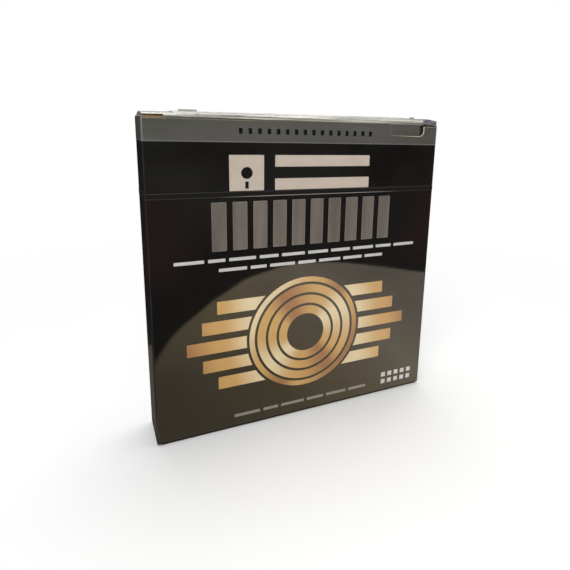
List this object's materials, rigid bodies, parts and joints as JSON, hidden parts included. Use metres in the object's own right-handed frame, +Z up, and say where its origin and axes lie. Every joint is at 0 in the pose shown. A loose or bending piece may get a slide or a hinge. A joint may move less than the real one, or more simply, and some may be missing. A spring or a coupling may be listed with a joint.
{
  "type": "sealed floppy disk carton",
  "caption": "Upright printed card carton of diskettes, sealed in clear film with a tear tape, with a slit-locked tuck lid and a thumb notch.",
  "frame": {"origin": "middle of the bottom, on the surface that the carton stands on", "axes": "+Z up, -Y towards the printed front panel, +X to the right as the front is read"},
  "size_m": [0.1452, 0.0222, 0.1516],
  "materials": {
    "printed_board": "gloss"
  },
  "bodies": {
    "root": {"sealed_carton": "printed_board"}
  },
  "joints": []
}
